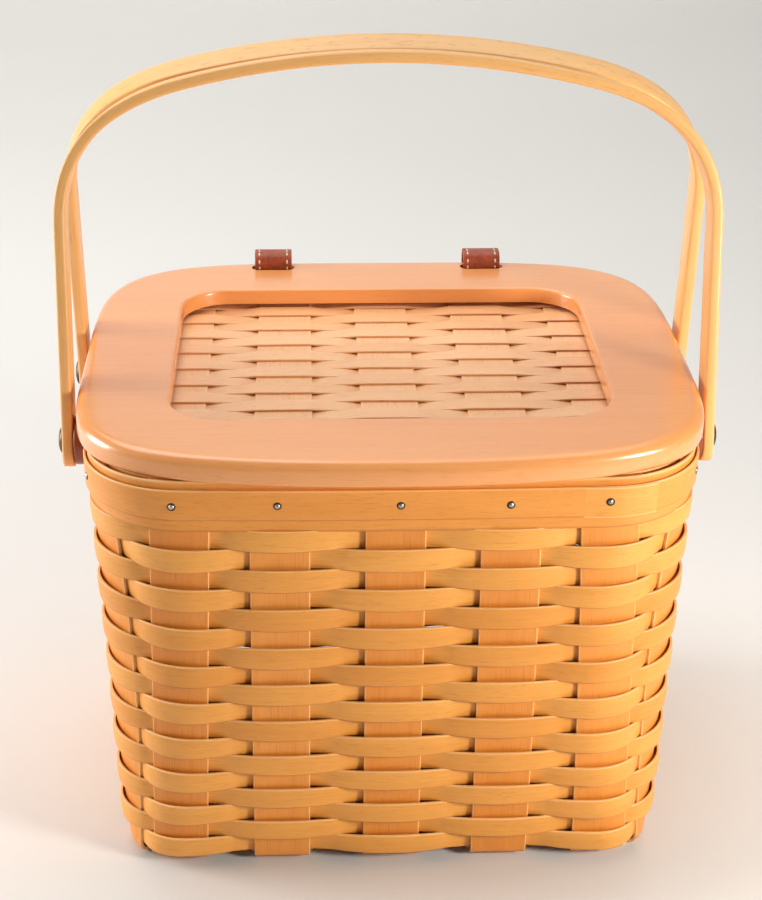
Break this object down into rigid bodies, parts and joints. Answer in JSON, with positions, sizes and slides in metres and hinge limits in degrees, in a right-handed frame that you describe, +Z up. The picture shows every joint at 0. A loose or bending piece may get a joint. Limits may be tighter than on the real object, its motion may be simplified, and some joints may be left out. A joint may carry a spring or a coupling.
{
  "type": "handled basket",
  "caption": "Woven splint basket with a hinged wooden lid, a woven panel set in the lid, leather hinge straps and bentwood carrying handles that swing on side rivets.",
  "frame": {"origin": "middle of the overall box, on the plane the basket stands on", "axes": "+Z up, the front wall faces -Y, +X to the right seen from the front"},
  "size_m": [0.2932, 0.2406, 0.3588],
  "materials": {
    "stake_wood": "satin, honey stain",
    "weaver_wood": "satin, honey stain",
    "band_wood": "satin, honey stain",
    "lid_wood": "polished, warm stain",
    "handle_wood": "satin, pale",
    "spacer_wood": "satin, reddish stain",
    "leather": "smooth, stitched edges",
    "rivet_metal": "darkened"
  },
  "bodies": {
    "basket": {"long_stake_1": "stake_wood", "long_stake_2": "stake_wood", "long_stake_3": "stake_wood", "long_stake_4": "stake_wood", "long_stake_5": "stake_wood", "long_filler_1": "stake_wood", "long_filler_2": "stake_wood", "long_filler_3": "stake_wood", "long_filler_4": "stake_wood", "cross_stake_1": "stake_wood", "cross_stake_2": "stake_wood", "cross_stake_3": "stake_wood", "cross_stake_4": "stake_wood", "cross_stake_5": "stake_wood", "cross_filler_1": "stake_wood", "cross_filler_2": "stake_wood", "cross_filler_3": "stake_wood", "cross_filler_4": "stake_wood", "weaver_01": "weaver_wood", "weaver_02": "weaver_wood", "weaver_03": "weaver_wood", "weaver_04": "weaver_wood", "weaver_05": "weaver_wood", "weaver_06": "weaver_wood", "weaver_07": "weaver_wood", "weaver_08": "weaver_wood", "weaver_09": "weaver_wood", "weaver_10": "weaver_wood", "weaver_11": "weaver_wood", "weaver_12": "weaver_wood", "weaver_13": "weaver_wood", "weaver_14": "weaver_wood", "weaver_15": "weaver_wood", "weaver_16": "weaver_wood", "weaver_17": "weaver_wood", "weaver_18": "weaver_wood", "inner_band": "band_wood", "outer_band": "band_wood", "trim_band": "band_wood", "spacer_front_left": "spacer_wood", "rivet_front_left": "rivet_metal", "spacer_front_right": "spacer_wood", "rivet_front_right": "rivet_metal", "spacer_back_left": "spacer_wood", "rivet_back_left": "rivet_metal", "spacer_back_right": "spacer_wood", "rivet_back_right": "rivet_metal", "hinge_tab_left": "leather", "hinge_tab_right": "leather"},
    "lid": {"lid_frame": "lid_wood", "lid_panel": "weaver_wood", "hinge_loop_left": "leather", "hinge_loop_right": "leather"},
    "front_handle": {"front_handle": "handle_wood"},
    "back_handle": {"back_handle": "handle_wood"}
  },
  "joints": [
    {"name": "lid_hinge", "type": "hinge", "parent": "basket", "child": "lid", "pos_m": [0, 0.11018, 0.20067], "axis": [-1, 0, 0], "range_deg": [0, 30]},
    {"name": "front_handle_swing", "type": "hinge", "parent": "basket", "child": "front_handle", "pos_m": [0, -0.04277, 0.1905], "axis": [1, 0, 0], "range_deg": [0, 155]},
    {"name": "back_handle_swing", "type": "hinge", "parent": "basket", "child": "back_handle", "pos_m": [0, 0.03523, 0.1905], "axis": [-1, 0, 0], "range_deg": [0, 155]}
  ]
}
